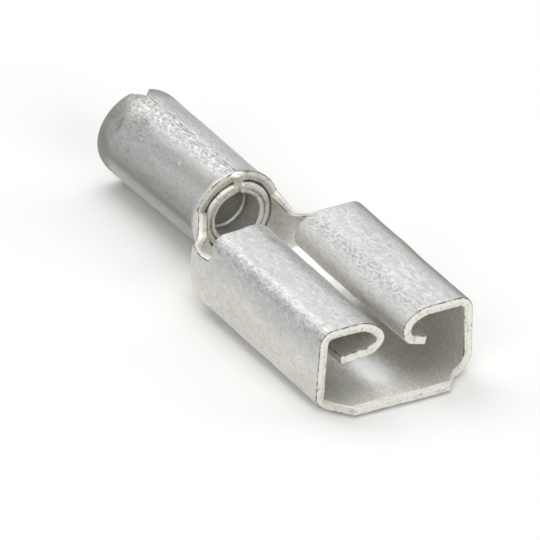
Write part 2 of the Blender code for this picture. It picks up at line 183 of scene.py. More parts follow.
def smooth(x, start, end, power=1.0):
    """The smooth step from 0 at start to 1 at end: share squared times three less twice the share."""
    share = np.clip((x - start) / (end - start), 0.0, 1.0) ** power
    return share * share * (3 - 2 * share)


def neck_bend(x):
    """0 in the receptacle and 1 in the barrel."""
    return smooth(x, CURL_REAR - NECK_STRAIGHT, BARREL_MOUTH)


def mouth_flare(x):
    """How far the barrel opens at its mouth: the flare times a smooth step."""
    return FLARE * smooth(x, BARREL_MOUTH - FLARE_LENGTH, BARREL_MOUTH)


def barrel_radius(x):
    """A slight cone, flared at the mouth and drawn in by an ellipse's quarter at the end."""
    share = np.clip((BARREL_MOUTH - x) / (BARREL_MOUTH - BARREL_END), 0.0, 1.0)
    length, depth = END_ROUND
    near_end = np.clip(1 - (x - BARREL_END) / length, 0.0, 1.0)
    drawn_in = depth * (1 - np.sqrt(1 - near_end**2))
    return MOUTH_RADIUS + share * (END_RADIUS - MOUTH_RADIUS) + mouth_flare(x) - drawn_in


def axis_height(x):
    """The height of the barrel's axis, which falls straight behind the mouth by its droop."""
    return AXIS_HEIGHT + np.minimum(x - BARREL_MOUTH, 0.0) * math.tan(DROOP)


left = Half(sign=-1, fold=0.42, from_middle=0.43, curl=LEFT_CURL, return_length=0.98, tongue=LEFT_TONGUE)
right = Half(sign=1, fold=0.7, from_middle=0.27, curl=RIGHT_CURL, return_length=0.5, tongue=RIGHT_TONGUE)

# How fine the grids are: the step along the receptacle and the barrel, and the steps or points elsewhere
STEP = 0.095
FLOOR_STEPS = (27, 12)
WALL_POINTS = 14
CURL_STEPS = (11, 3, 13, 10, 10, 9)
WING_POINTS = 25
NECK_POINTS = 44
TONGUE_POINTS = 12
FILLET_TURNS = np.radians([15, 30, 45, 60, 75, 90])


def quads(points):
    """The faces of a grid of points, as corner numbers counted row by row."""
    rows, columns = points.shape[:2]
    corner = np.arange(rows * columns).reshape(rows, columns)
    sides = (corner[:-1, :-1], corner[:-1, 1:], corner[1:, 1:], corner[1:, :-1])
    return np.stack(sides, axis=-1).reshape(-1, 4)


def joined(grids):
    """Grids of points as one mesh, where points in the same place are one."""
    starts = np.cumsum([0] + [grid.shape[0] * grid.shape[1] for grid in grids])
    points = np.concatenate([grid.reshape(-1, grid.shape[-1]) for grid in grids])
    faces = np.concatenate([quads(grid) + start for grid, start in zip(grids, starts)])
    kept, numbers = np.unique(np.round(points, 6), axis=0, return_inverse=True)
    return kept, numbers.reshape(-1)[faces]


def grid_of(x, half, across):
    """A grid of the blank on one side, with its columns in order from -Y to +Y."""
    return np.stack([x, half.sign * across], axis=-1)[:, :: half.sign]


def flat_blank():
    """The flat strip before it is folded, as points (x, distance from the middle line) and faces: its middle
    part over the whole length, the two curls, the two wings of the barrel and the tongue. Its outline is
    drawn in by the edge's rounding, because the rim adds that again."""
    end = BARREL_END + EDGE
    mouth = BARREL_MOUTH - EDGE
    share = np.linspace(0.0, 1.0, round((mouth - end) / STEP) + 1)
    neck = np.linspace(mouth, CURL_REAR - CURL_FILLET, NECK_POINTS)
    fillet = CURL_REAR - CURL_FILLET + (CURL_FILLET + EDGE) * np.sin(FILLET_TURNS)
    curl = np.linspace(CURL_REAR + EDGE, -EDGE, round(-CURL_REAR / STEP) + 1)
    lengthwise = np.concatenate([end + share * (mouth - end), neck[1:], fillet, curl[1:]])
    tongue = np.append(np.linspace(-EDGE, TONGUE - TONGUE_BEVEL, TONGUE_POINTS), TONGUE - EDGE)
    core = []
    plate = []
    grids = []
    for half in (left, right):
        floor = half.stations(FLOOR, FLOOR_STEPS)
        upright = np.linspace(floor[-1], half.root, WALL_POINTS)[1:]
        across = np.concatenate([floor, upright])
        root = half.tongue[0, 1] - EDGE
        across[np.argmin(abs(across - root))] = root
        core.append(across * half.cut_edge(lengthwise)[:, None] / half.root)
        width = np.interp(tongue, half.tongue[:, 0], half.tongue[:, 1]) - EDGE
        plate.append(across[across <= root] * width[:, None] / root)
        over = half.stations(CROWN_FOLD, CURL_STEPS)
        over[-1] -= EDGE
        over = np.concatenate([[half.root, (half.root + over[0]) / 2], over])
        skew = CURL_SKEW * smooth(over, half.starts[CROWN], half.starts[UNDERSIDE]) * (half is left)
        from_front = (curl[:, None] + EDGE) / (CURL_REAR + 2 * EDGE)
        grids.append(grid_of(curl[:, None] - skew * from_front, half, over + 0 * curl[:, None]))
        seam = math.pi * barrel_radius(lengthwise[: len(share)]) - EDGE - SEAM_GAP / 2
        across = np.linspace(0.0, 1.0, WING_POINTS)
        wing = MOUTH_CORNER - EDGE + across * (seam[:, None] - MOUTH_CORNER + EDGE)
        notch = SEAM_NOTCH * np.clip(1 - (seam[:, None] - wing) / SEAM_NOTCH, 0.0, 1.0)
        grids.append(grid_of(end + notch + share[:, None] * (mouth - end - notch), half, wing))
    for rows, (one, other) in ((lengthwise, core), (tongue, plate)):
        across = np.concatenate([-one[:, :0:-1], other], axis=1)
        grids.append(np.stack([rows[:, None] + 0 * across, across], axis=-1))
    return joined(grids)


def folded(x, along):
    """Points of the folded strip's outer surface and its outward normals: each is the strip's direction
    across, crossed with the change of the surface from a little behind to a little ahead."""
    nudge = 0.01
    points = np.empty((len(x), 3))
    normals = np.empty((len(x), 3))
    for half in (left, right):
        here = (along >= 0) == (half is right)
        at = x[here]
        reach = np.abs(along[here])
        y, z, heading = half.section(at, reach)
        y_ahead, z_ahead, _ = half.section(at + nudge, reach)
        y_behind, z_behind, _ = half.section(at - nudge, reach)
        points[here] = np.stack([at, y, z], axis=1)
        across = np.stack([0 * y, half.sign * np.cos(heading), np.sin(heading)], axis=1)
        ahead = np.stack([0 * y + 2 * nudge, y_ahead - y_behind, z_ahead - z_behind], axis=1)
        normals[here] = half.sign * np.cross(across, ahead)
    return points, normals / np.linalg.norm(normals, axis=1, keepdims=True)


def cap(distance, radius, height):
    """The height of a spherical cap over its base, at a distance from the middle of the base."""
    ball_radius = (radius**2 + height**2) / (2 * height)
    inside = np.minimum(distance, radius)
    return np.sqrt(ball_radius**2 - inside**2) - (ball_radius - height)


def waves(x, along, length):
    """An uneven surface, mostly between -1 and 1: the sum of seven sines, divided by three and a half. Each
    runs 2.4 radians round from the one before, and their wave lengths lie about this one."""
    number = np.arange(7)
    turns = number * 2.4 + 0.3
    reach = 2 * math.pi / length * (0.7 + 0.1 * number)
    phase = x[:, None] * np.cos(turns) * reach + along[:, None] * np.sin(turns) * reach + turns**2
    return np.sin(phase).sum(axis=1) / 3.5


WAVE_HEIGHT = 0.008
WAVE_LENGTH = 2.3
# Dents and grains: where along the blank, half their length and width, and how deep
DENTS = (
    (-16.27, -3.5, 0.13, 0.34, 0.09),
    (-15.2, -3.13, 0.09, 0.09, 0.03),
    (-14.08, -3.83, 0.07, 0.1, 0.035),
    (-13.42, -3.83, 0.06, 0.07, 0.03),
    (-15.45, -4.05, 0.2, 0.25, 0.03),
    (-14.94, -3.7, 0.08, 0.06, -0.03),
    (-12.66, -3.9, 0.07, 0.06, -0.03),
    (-15.65, -4.98, 0.1, 0.07, 0.06),
    (-15.05, 4.95, 0.12, 0.07, 0.06),
    (-13.64, -4.95, 0.1, 0.08, 0.05),
    (-12.1, 4.9, 0.08, 0.06, 0.05),
    (-1.9, -7.45, 0.12, 0.08, 0.05),
    (-6.2, -7.3, 0.25, 0.14, 0.03),
    (-0.5, -5.9, 0.05, 0.16, 0.04),
    (-0.64, -7.0, 0.12, 0.06, 0.03),
    (-0.8, -6.85, 0.05, 0.05, 0.03),
)
# How fast a dent and the low rim round it fall off, how far out the rim lies, and its share of the depth
DENT_FALL = 1.5
RIM_FALL = 3
RIM_AWAY = 1.6
RIM_SHARE = 0.3


def relief(x, along):
    """How far the outer and the inner surface stand out of the plain form, along the outward normal. A dent
    is e to the power of minus its fall times the distance squared, less a like ring round it."""
    from_detent = np.hypot(x - DETENT_X, along)
    waviness = WAVE_HEIGHT * waves(x, along, WAVE_LENGTH)
    outer = waviness - cap(from_detent, *HOLLOW)
    for at, across, half_length, half_width, depth in DENTS:
        far = np.hypot((x - at) / half_length, (along - across) / half_width)
        outer -= depth * np.exp(-(far**2) * DENT_FALL)
        outer += RIM_SHARE * depth * np.exp(-((far - RIM_AWAY) ** 2) * RIM_FALL)
    inner = waviness - cap(from_detent, *BOSS)
    return outer, inner


ROUND_STEPS = np.radians([0, 25, 50, 75, 90])
FAN = 4
# The cosine of the turn from which a corner gets a fan instead of a mitre
SHARP_TURN = 0.75


def border_of(faces, count):
    """The points on a mesh's border, and for each its follower's and its forerunner's place in that list. An
    edge is on the border where only one face uses it."""
    starts = faces.reshape(-1)
    ends = np.roll(faces, -1, axis=1).reshape(-1)
    edges = np.sort(np.stack([starts, ends], axis=1), axis=1)
    _, which, uses = np.unique(edges, axis=0, return_inverse=True, return_counts=True)
    alone = uses[which.reshape(-1)] == 1
    border = starts[alone]
    place = np.full(count, -1)
    place[border] = np.arange(len(border))
    following = place[ends[alone]]
    before = np.empty_like(following)
    before[following] = np.arange(len(border))
    return border, following, before


def outward(leaving, before, n):
    """At each border point a fan of directions out of the sheet, and whether the corner there is sharp. The
    way out of an edge is the edge crossed with the normal. Only a sharp corner's directions turn, from one
    edge's way out to the next one's; elsewhere all are their mitre."""
    out_after = np.cross(leaving, n)
    out_after /= np.linalg.norm(out_after, axis=1, keepdims=True)
    out_before = np.cross(leaving[before], n)
    out_before /= np.linalg.norm(out_before, axis=1, keepdims=True)
    same = (out_after * out_before).sum(axis=1, keepdims=True)
    left_turn = (np.cross(leaving[before], leaving) * n).sum(axis=1, keepdims=True) > 0
    sharp = (same < SHARP_TURN) & left_turn
    mitre = (out_before + out_after) / (1 + same)
    shares = np.linspace(0.0, 1.0, FAN + 1)[:, None]
    fan = (1 - shares) * out_before[:, None] + shares * out_after[:, None]
    fan /= np.linalg.norm(fan, axis=2, keepdims=True)
    return np.where(sharp[:, None], fan, mitre[:, None]), sharp[:, 0]


def strip_mesh():
    """The strip as a closed body: its outer surface, its inner one a sheet's thickness below, and round its
    outline a rim, whose profile is carried along the border. The profile is an arc out of the outer surface,
    the sheared face and an arc into the inner one. With each point come its place on the flat blank with its
    depth in the sheet, how far it is on the cut edge, and how far on the inner side."""
    blank, faces = flat_blank()
    x, along = blank.T
    surface, normal = folded(x, along)
    bevel = np.clip((x - TONGUE + TONGUE_BEVEL) / (TONGUE_BEVEL - EDGE), 0.0, 1.0)
    thick = SHEET - (SHEET - TONGUE_TIP) * bevel
    raised, sunk = relief(x, along)
    outer = surface + normal * raised[:, None]
    inner = surface + normal * (sunk - thick)[:, None]

    border, following, before = border_of(faces, len(x))
    n = normal[border]
    top = outer[border]
    out, sharp = outward(surface[border[following]] - surface[border], before, n)
    depth = ((top - inner[border]) * n).sum(axis=1)
    down = EDGE * (1 - np.cos(ROUND_STEPS)) + 0 * depth[:, None]
    reach = EDGE * np.concatenate([np.sin(ROUND_STEPS), np.sin(ROUND_STEPS[::-1])])
    below = np.concatenate([down, depth[:, None] - down[:, ::-1]], axis=1)
    rim = (
        top[:, None, None]
        - n[:, None, None] * below[:, None, :, None]
        + out[:, :, None] * reach[None, None, :, None]
    )

    points_in_rim = rim.shape[2]
    numbers = 2 * len(x) + np.arange(rim[..., 0].size).reshape(rim.shape[:3])
    numbers[:, :, 0] = border[:, None]
    numbers[:, :, -1] = border[:, None] + len(x)
    numbers[~sharp, :, :] = numbers[~sharp, :1, :]
    columns = numbers.reshape(-1, points_in_rim)
    onward = np.concatenate([numbers[:, 1:], numbers[following][:, :1]], axis=1)
    onward = onward.reshape(-1, points_in_rim)
    corners = (columns[:, :-1], columns[:, 1:], onward[:, 1:], onward[:, :-1])
    strips = np.stack(corners, axis=-1).reshape(-1, 4)
    halves = np.concatenate([strips[:, [0, 1, 2]], strips[:, [0, 2, 3]]])
    distinct = (halves != np.roll(halves, 1, axis=1)).all(axis=1)

    columns_in_rim = len(border) * (FAN + 1)
    arc = EDGE * ROUND_STEPS
    through = np.concatenate([arc, arc + arc[-1] + SHEET - 2 * EDGE])
    rising = np.linspace(0.0, 1.0, len(ROUND_STEPS))
    from_behind = np.repeat([0.0, 1.0], len(ROUND_STEPS))
    outer_flat = np.column_stack([blank, 0 * x])
    inner_flat = np.column_stack([x + SHEET - thick, along, 0 * x + through[-1]])
    border_flat = np.repeat(blank[border], (FAN + 1) * points_in_rim, axis=0)
    rim_flat = np.column_stack([border_flat, np.tile(through, columns_in_rim)])
    rim_cut = np.tile(np.concatenate([rising, rising[::-1]]), columns_in_rim)
    points = np.concatenate([outer, inner, rim.reshape(-1, 3)])
    flat = np.concatenate([outer_flat, inner_flat, rim_flat])
    cut = np.concatenate([0 * x, 0 * x, rim_cut])
    inside = np.concatenate([0 * x, 0 * x + 1, np.tile(from_behind, columns_in_rim)])
    return points, [faces, faces[:, ::-1] + len(x), halves[distinct]], flat, cut, inside


def new_piece(name, points, faces, attributes):
    """A smooth piece from straight points in mm, lists of faces, and named vectors for each point."""
    used, numbers = np.unique(np.concatenate([group.reshape(-1) for group in faces]), return_inverse=True)
    renumber = np.empty(len(points), dtype=int)
    renumber[used] = np.arange(len(used))
    mesh = bpy.data.meshes.new(name)
    mesh.from_pydata(set_down(points[used]), [], [f for group in faces for f in renumber[group].tolist()])
    for key, values in attributes.items():
        made = mesh.attributes.new(key, "FLOAT_VECTOR", "POINT")
        made.data.foreach_set("vector", values[used].astype(np.float32).reshape(-1))
    mesh.shade_smooth()
    piece = bpy.data.objects.new(name, mesh)
    bpy.context.scene.collection.objects.link(piece)
    return piece


def bell(value, middle, width):
    """1 at the middle and about a third at this width from it: e to the power of minus the share squared."""
    return np.exp(-(((value - middle) / width) ** 2))


def marked(plain, marks):
    """The look of each point as four shares: painted highlight, speckled, warm and pale, and darkening, which
    is mostly painted shade. It is that of plain tin, and the sum over the marks of a mark's strength times
    the shares that it gives."""
    return sum((strength[..., None] * np.array(shares) for strength, shares in marks), np.array(plain))


# A half's painted highlight on its crown and on its fold, its specks, and how far behind its shoulder's start
# its grey band of painted shade lies
HALF_MARKS = (
    (left, 0.4, 0.5, 0.45, 0.36),
    (right, 0.6, 0.0, 0.7, 0.48),
)
# Distances along the strip from the start of a bend, as the middle and width of a band
CROWN_BAND = (0.6, 0.45)
FOLD_BAND = (0.35, 0.35)
RIGHT_FOLD_BAND = (0.15, 0.7)
GREY_WIDTH = 0.3
# From where to where a mark grows or goes: after the wall's start and the crown fold's, after the right
# nose's and underside's for a painted warm reflection, after the left crown fold's and crown's and after the
# left shoulder's for painted shade, and along x
WALL_WARMTH = (0.8, 0.2)
UNDERSIDE_REFLECTION = (-0.3, -0.2)
LEFT_CROWN_SHADE = (0.6, 0.2)
SHOULDER_SHADE = (0.4, 0.65)
SHOULDER_FRONT = (-3.8, -1.6)
# Distances along the barrel's strip: a band's middle and width, or from where to where a mark grows
# The seam band, and the tin right of the seam, carry a painted highlight
SEAM_BAND = (-4.8, 0.34)
RIGHT_OF_SEAM = (3.6, 4.8)
# The side band, on the barrel's upper left, and the fade over its lower half carry painted shade
SIDE_BAND = (-3.98, 0.45)
SIDE_FADE = (-3.6, -2.7)
# A soft band and a dark line low on the barrel's left side are painted shade, where it reflects the table's
# shadow; the bottom fade is a painted warm reflection of the table
LOW_BAND = (-2.65, 0.3)
DARK_LINE = (-2.42, 0.13)
BOTTOM_FADE = (-2.2, -1.8)
RIGHT_OF_SEAM_SHARE = 0.15
SIDE_BAND_SHARE = 1.3
# Round spots on the barrel: x, distance along the strip, and radius
WARM_PATCH = (-16.4, -4.6, 0.5)
DARK_PATCH = (-15.5, -4.05, 0.45)
# Distances behind the walls' front edges at which a mark starts and is full
FAR_END = (15.2, -BARREL_END)
# The grey end is painted shade on the barrel's drawn-in end
END_GREY = (16.1, 16.95)
ON_BARREL = (-BARREL_MOUTH, 0.3 - BARREL_MOUTH)
PATCH_CLEARS = 0.4
DENT_SPREAD = 0.8
# How much darker a dent gets
DENT_DARKENING = 0.8


def spot(x, along, middle_x, middle_along, radius):
    """A round mark: the bell of the distance from its middle."""
    return bell(np.hypot(x - middle_x, along - middle_along), 0.0, radius)


def marks_and_light(x, along):
    """The marks and painted light of the outer side. Highlights are painted on the curls' crowns, the left
    fold and the tin beside the barrel's seam, with specks next to them and grey bands of painted shade. The
    walls, the right curl's underside and the barrel's bottom are warm and pale; on the underside and the
    bottom that is a painted reflection. Shade is painted on the right fold, the left shoulder near the mouth,
    the barrel's sides, the band and line low on it, and its end. The dents are darker, and raised grains get
    a painted glint."""
    marks = []
    for half, crown_highlight, fold_highlight, specks, grey_at in HALF_MARKS:
        away = half.sign * along
        on = away > 0
        crown = on * bell(away - half.starts[CROWN], *CROWN_BAND)
        fold = on * bell(away - half.starts[CROWN_FOLD], *FOLD_BAND)
        grey = on * bell(away - half.starts[SHOULDER], grey_at, GREY_WIDTH)
        stain_from = half.starts[WALL] + WALL_WARMTH[0]
        wall = on * (1 - smooth(away, stain_from, half.starts[CROWN_FOLD] + WALL_WARMTH[1]))
        # Painted highlights on the crown and the fold, painted shade in the grey band, and the wall warm and
        # pale
        marks += [
            (crown, (crown_highlight, 0, 0, 0)),
            (fold, (fold_highlight, specks, 0, 0)),
            (grey, (0, specks, 0, 0.2)),
            (wall, (0, 0, 0.75, 0)),
        ]
    # Painted light on the curls: a warm reflection on the right curl's underside, and shade on the right
    # fold, the left crown and the left shoulder near the mouth
    underside = smooth(along, *(right.starts[[NOSE, UNDERSIDE]] + UNDERSIDE_REFLECTION))
    right_fold = bell(along - right.starts[CROWN_FOLD], *RIGHT_FOLD_BAND)
    left_crown = smooth(-along, *(left.starts[[CROWN_FOLD, CROWN]] + LEFT_CROWN_SHADE))
    past_shoulder = smooth(-along, *(left.starts[SHOULDER] + SHOULDER_SHADE))
    marks += [
        (underside, (0, 0, 1.0, 0)),
        (right_fold, (0, 0, 0, 1.2)),
        (left_crown, (0, 0, 0, 0.13)),
        (past_shoulder * smooth(x, *SHOULDER_FRONT), (0, 0, 0, 0.6)),
    ]
    shares = marked((0, 0.25, 0, 0), marks)

    beside_seam = bell(along, *SEAM_BAND) + RIGHT_OF_SEAM_SHARE * smooth(along, *RIGHT_OF_SEAM)
    sides = smooth(-abs(along), *SIDE_FADE) + SIDE_BAND_SHARE * bell(along, *SIDE_BAND)
    far_end = smooth(-x, *FAR_END)
    warm_patch = spot(x, along, *WARM_PATCH)
    grey_end = smooth(-x, *END_GREY)
    # On the barrel: a painted highlight beside the seam, painted shade on its sides, low on it and at its
    # end, and a painted warm reflection at its bottom; the far end is speckled and the warm patch is a stain
    barrel_marks = (
        (beside_seam, (1.0, 0.45, 0, 0)),
        (beside_seam * far_end, (-0.5, 0, 0, 0)),
        (far_end, (0, 0.45, 0, 0)),
        (bell(along, *LOW_BAND), (0, 0.5, 0.15, 0.25)),
        (spot(x, along, *DARK_PATCH), (0, 0.9, 0, 0)),
        (warm_patch, (0, 0, 1.3, 0.25)),
        (smooth(-abs(along), *BOTTOM_FADE), (0, 0, 1.0, 0)),
        (sides, (0, 0, 0, 0.53)),
        (bell(along, *DARK_LINE), (0, 0, 0, 0.6)),
        (grey_end * (1 - PATCH_CLEARS * warm_patch), (0, 0, 0, 0.7)),
    )
    on_barrel = smooth(-x, *ON_BARREL)[:, None]
    shares += on_barrel * (marked((0, 0.35, 0, 0), barrel_marks) - shares)

    painted_highlight, _, _, darkening = shares.T
    # Dents get darker, and raised grains get a painted glint
    for at, across, half_length, half_width, depth in DENTS:
        dent = bell(np.hypot((x - at) / half_length, (along - across) / half_width), 0.0, DENT_SPREAD)
        if depth > 0:
            darkening += DENT_DARKENING * dent * (1 - darkening)
        else:
            painted_highlight += dent
            darkening -= darkening * dent
    return shares


# The painted pool of light on the floor in front of the left curl: x, distance along the strip, radius,
# narrowness
MOUTH_LIGHT_POOL = (-0.95, -0.35, 1.0, 0.65)
# The painted strip of light on the floor that the slot between the curls shows: band, and where it starts and
# stops
SLOT_LIGHT_POOL = (1.3, 0.6)
SLOT_FRONT = (4.4, 5.4)
SLOT_REAR = (8.95, 9.15)


def inner_marks_and_light(x, along):
    """The inner side's marks, with pools of light painted on the floor in the mouth and under the slot."""
    middle_x, middle_along, radius, narrow = MOUTH_LIGHT_POOL
    mouth = bell(np.hypot(x - middle_x, (along - middle_along) / narrow), 0.0, radius)
    slot = bell(along, *SLOT_LIGHT_POOL) * smooth(-x, *SLOT_FRONT) * (1 - smooth(-x, *SLOT_REAR))
    return marked((0, 0.15, 0, 0), [(mouth + slot, (1.0, 0, 0, 0))])


points, faces, flat, cut, inside = strip_mesh()
on_blank = flat[:, :2].T
shares = marks_and_light(*on_blank) * (1 - inside)[:, None] + inner_marks_and_light(*on_blank) * inside[:, None]
edge = np.column_stack([cut, inside, shares[:, 3]])
strip = new_piece("folded_strip", points, faces, {"flat": flat, "edge": edge, "marks_and_light": shares[:, :3]})


class Shade:
    """A socket of a material's nodes, so that sums and products of it are written as such."""

    def __init__(self, tree, socket=None):
        self.tree = tree
        self.socket = socket

    def node(self, kind, settings, inputs, output=0):
        """A new node: first its settings, such as an operation, then its inputs."""
        made = self.tree.nodes.new(kind)
        for name, value in settings.items():
            setattr(made, name, value)
        for name, value in inputs.items():
            if isinstance(value, Shade):
                self.tree.links.new(value.socket, made.inputs[name])
            else:
                made.inputs[name].default_value = value
        return Shade(self.tree, made.outputs[output])

    def math(self, operation, *values):
        """A Math node on these values."""
        return self.node("ShaderNodeMath", {"operation": operation}, dict(enumerate(values)))

    def __add__(self, other):
        return self.math("ADD", self, other)

    def __sub__(self, other):
        return self.math("SUBTRACT", self, other)

    def __rsub__(self, other):
        return self.math("SUBTRACT", other, self)

    def __mul__(self, other):
        return self.math("MULTIPLY", self, other)

    __radd__ = __add__
    __rmul__ = __mul__

    def attribute(self, name):
        """The vector that the mesh keeps under this name."""
        return self.node("ShaderNodeAttribute", {"attribute_name": name}, {}, "Vector")

    def noise(self, scale, detail=3.0, stretch=(1.0, 1.0, 1.0), seed=0.0, distortion=0.0):
        """Noise over this vector, from about 0 to 1, with so many grains in a mm."""
        at = self.node(
            "ShaderNodeMapping", {}, {"Vector": self, "Scale": stretch, "Location": (seed, -seed, seed)}
        )
        inputs = {"Vector": at, "Scale": scale, "Detail": detail, "Distortion": distortion}
        return self.node("ShaderNodeTexNoise", {}, inputs)

    def parts(self):
        """The three values of this vector."""
        return [self.node("ShaderNodeSeparateXYZ", {}, {"Vector": self}, output) for output in range(3)]

    def ramp(self, low, high):
        """0 where this is below low and 1 above high."""
        settings = {"interpolation_type": "SMOOTHSTEP"}
        return self.node("ShaderNodeMapRange", settings, {"Value": self, "From Min": low, "From Max": high})

    def mix(self, one, other):
        """The colour one where this is 0 and the other where it is 1."""
        settings = {"data_type": "RGBA"}
        colours = [(*c, 1.0) if isinstance(c, tuple) else c for c in (one, other)]
        return self.node("ShaderNodeMix", settings, {0: self, 6: colours[0], 7: colours[1]}, 2)

    def bump(self, strength):
        """A normal that follows this height, for a surface whose marks are a twentieth of a mm deep."""
        inputs = {"Strength": strength, "Distance": 0.05 * MM, "Height": self}
        return self.node("ShaderNodeBump", {}, inputs)


def new_material(name):
    """A material with its shader, and a shade to start its expressions from."""
    material = bpy.data.materials.new(name)
    material.use_nodes = True
    shader = material.node_tree.nodes["Principled BSDF"]
    return material, shader, Shade(material.node_tree)


def connect(start, shader, **values):
    """Sets or links the shader's sockets, named with _ for a space."""
    for name, value in values.items():
        socket = shader.inputs[name.replace("_", " ")]
        if isinstance(value, Shade):
            start.tree.links.new(value.socket, socket)
        else:
            socket.default_value = value


DULL = (0.61, 0.62, 0.622)
PALE = (0.73, 0.73, 0.72)
# Bright flakes: a few everywhere, and dense where highlights are painted
BRIGHT = (0.93, 0.93, 0.925)
DARK = (0.30, 0.31, 0.31)
FINE_DARK = (0.42, 0.42, 0.41)
# The darkening: painted shade, and the darker dents
DARKENED = (0.30, 0.295, 0.28)
# Warm and pale: on the walls and in a patch near the barrel's end, and as a painted warm reflection on the
# right curl's underside and the barrel's bottom
WARM_PALE = (0.95, 0.92, 0.845)
# The inner side, warmer and painted lighter as light inside the terminal
INSIDE_LIGHTER = (0.92, 0.905, 0.84)
SHEARED = (0.88, 0.86, 0.795)
TORN = (0.50, 0.48, 0.40)
# A dark line along the rounded corners of the cut edge
CORNER_LINE_DARK = (0.15, 0.15, 0.13)
MOTTLED = (0.43, 0.44, 0.445)
WORN_EDGE = (0.72, 0.70, 0.62)
# White of the painted pools of light on the inner floor, and of painted highlights near the lining's burrs
HIGHLIGHT_WHITE = (0.98, 1.0, 1.0)
# How far behind the walls' front edges the torn edge starts and is full, and how far in front of them the
# tongue does, whose inner corner stays clean
TORN_BEHIND = (7.6, 8.6)
ON_TONGUE = (0.0, 0.1)


def tin_plate(name):
    """Matte tin: cloudy and finely speckled, with bright flakes dense along the painted highlights and dark
    specks beside them, warm, pale and streaked across the walls, painted shade where the shares darken it,
    and painted lighter and creamy on the inside, with painted pools of light on the floor. The sheared edge
    is creamy, with a dark line along its rounded corners; in the neck and barrel its inner half tore off and
    is dull."""
    material, shader, start = new_material(name)
    flat = start.attribute("flat")
    cut, inside, darkening = start.attribute("edge").parts()
    painted_highlight, speckled, warm = start.attribute("marks_and_light").parts()
    x = flat.parts()[0]
    cloud = flat.noise(0.8, detail=6.0, stretch=(0.6, 1.0, 1.0), seed=3.0)
    flake = flat.noise(4.0, detail=6.0, stretch=(0.65, 1.2, 1.0), seed=7.0, distortion=0.6)
    speck = flat.noise(9.0, detail=8.0, stretch=(0.7, 1.1, 1.0), seed=23.0, distortion=0.3)
    patches = flat.noise(4.5, detail=9.0, stretch=(0.8, 1.1, 1.0), seed=31.0, distortion=0.4)
    streak = flat.noise(1.6, detail=4.0, stretch=(2.4, 0.2, 1.0), seed=11.0)
    grain = flat.noise(26.0, detail=3.0, stretch=(0.8, 1.0, 1.0), seed=5.0)
    flakes = flake.ramp(0.46, 0.6)
    specks = speck.ramp(0.49, 0.62)
    mottle = patches.ramp(0.46, 0.6)

    # Warm and pale where the shares say so, and streaked; on the right curl's underside and the barrel's
    # bottom this is a painted reflection
    warm_pale = (warm * (0.6 + cloud * 0.5)).ramp(0.0, 1.0) + streak.ramp(0.5, 0.8) * 0.12
    # Where pools of light and highlights are painted on the inner side
    inner_highlight = (painted_highlight * inside * 1.2).ramp(0.1, 1.0)
    tone = cloud.ramp(0.3, 0.7).mix(DULL, PALE)
    tone = warm_pale.mix(tone, WARM_PALE)
    # The inner side is painted lighter and warmer, as light inside
    tone = (inside * 0.85).mix(tone, INSIDE_LIGHTER)
    # Bright flakes, dense along the painted highlights
    tone = (flakes * (painted_highlight * 0.75 + 0.1)).mix(tone, BRIGHT)
    tone = (mottle * (speckled * 0.4 + 0.05)).mix(tone, MOTTLED)
    tone = (specks * (speckled * 0.6 + painted_highlight * 0.2)).mix(tone, DARK)
    # Darkened where the shares paint shade, and in dents
    tone = (darkening * (0.5 + cloud * 0.8)).mix(tone, DARKENED)
    tone = (grain.ramp(0.38, 0.62) * 0.34).mix(tone, FINE_DARK)
    # The painted pools of light and highlights inside
    tone = inner_highlight.mix(tone, HIGHLIGHT_WHITE)

    worn = inside.ramp(0.25, 0.8) * flake.ramp(0.35, 0.6) * 0.7
    torn = inside.ramp(0.3, 0.62) * (0.0 - x).ramp(*TORN_BEHIND)
    pitted = specks * flake.ramp(0.5, 0.62) * 0.5 + grain.ramp(0.4, 0.6) * 0.12
    edge_tone = worn.mix(SHEARED, WORN_EDGE)
    edge_tone = (torn * (0.3 + flake * 0.7)).mix(edge_tone, TORN)
    edge_tone = pitted.mix(edge_tone, DARK)
    tone = cut.ramp(0.4, 0.9).mix(tone, edge_tone)
    clean_corner = x.ramp(*ON_TONGUE) * inside.ramp(0.4, 0.6)
    # A dark line along the rounded corners of the cut edge, except at the tongue's inner corner
    corner_line = cut.ramp(0.05, 0.35) * (1 - cut.ramp(0.55, 0.9)) * (1 - clean_corner)
    tone = (corner_line * (0.3 + flake.ramp(0.4, 0.6) * 0.7)).mix(tone, CORNER_LINE_DARK)

    height = flake * (painted_highlight * 0.8 + 0.3) + cloud * 0.8 + grain * 0.16 - specks * speckled * 0.35
    roughness = 0.6 + grain * 0.08 - flake * 0.06
    connect(start, shader, Base_Color=tone, Metallic=1.0, Roughness=roughness, Normal=height.bump(0.6))
    return material


strip.data.materials.append(tin_plate("tin_over_brass"))
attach(strip, "root")
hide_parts("terminal_body")

# The barrel's lining
# A second strip, of tinned copper, is rolled into a sleeve and pushed into the barrel. Its front lip stands
# a little out of the mouth, its seam is turned up, and three grooves pressed round its bore grip the wire.
CLEARANCE = 0.03
LINING = 0.37
LINING_PROUD = 0.1
LINING_LENGTH = 6.3
LIP = 0.12
LINING_OUTER = MOUTH_RADIUS - SHEET - CLEARANCE
BORE = LINING_OUTER - LINING
FLARE_FOLLOWED = 0.9
GROOVES = (1.0, 2.4, 3.8)
GROOVE_WIDTH = 0.3
GROOVE_DEPTH = 0.07
BURR = 0.018
# The crease round the lip's face: how deep, and how wide
CREASE = (0.03, 0.022)
# The turned-up seam: half its width, how far it draws the bore out, and how far it draws the lip back
LINING_SEAM = (0.12, 0.15, 0.08)
SEAM_DRAWN_FROM = -0.2
OUTSIDE_POINTS = 60
BORE_POINTS = 300
LIP_POINTS = 7
FACE_POINTS = 13
ROUND_POINTS = 180
# The clean corner of the strip's own tongue has no place on the lining, so its pattern starts behind that
FLAT_BEHIND = 1.0
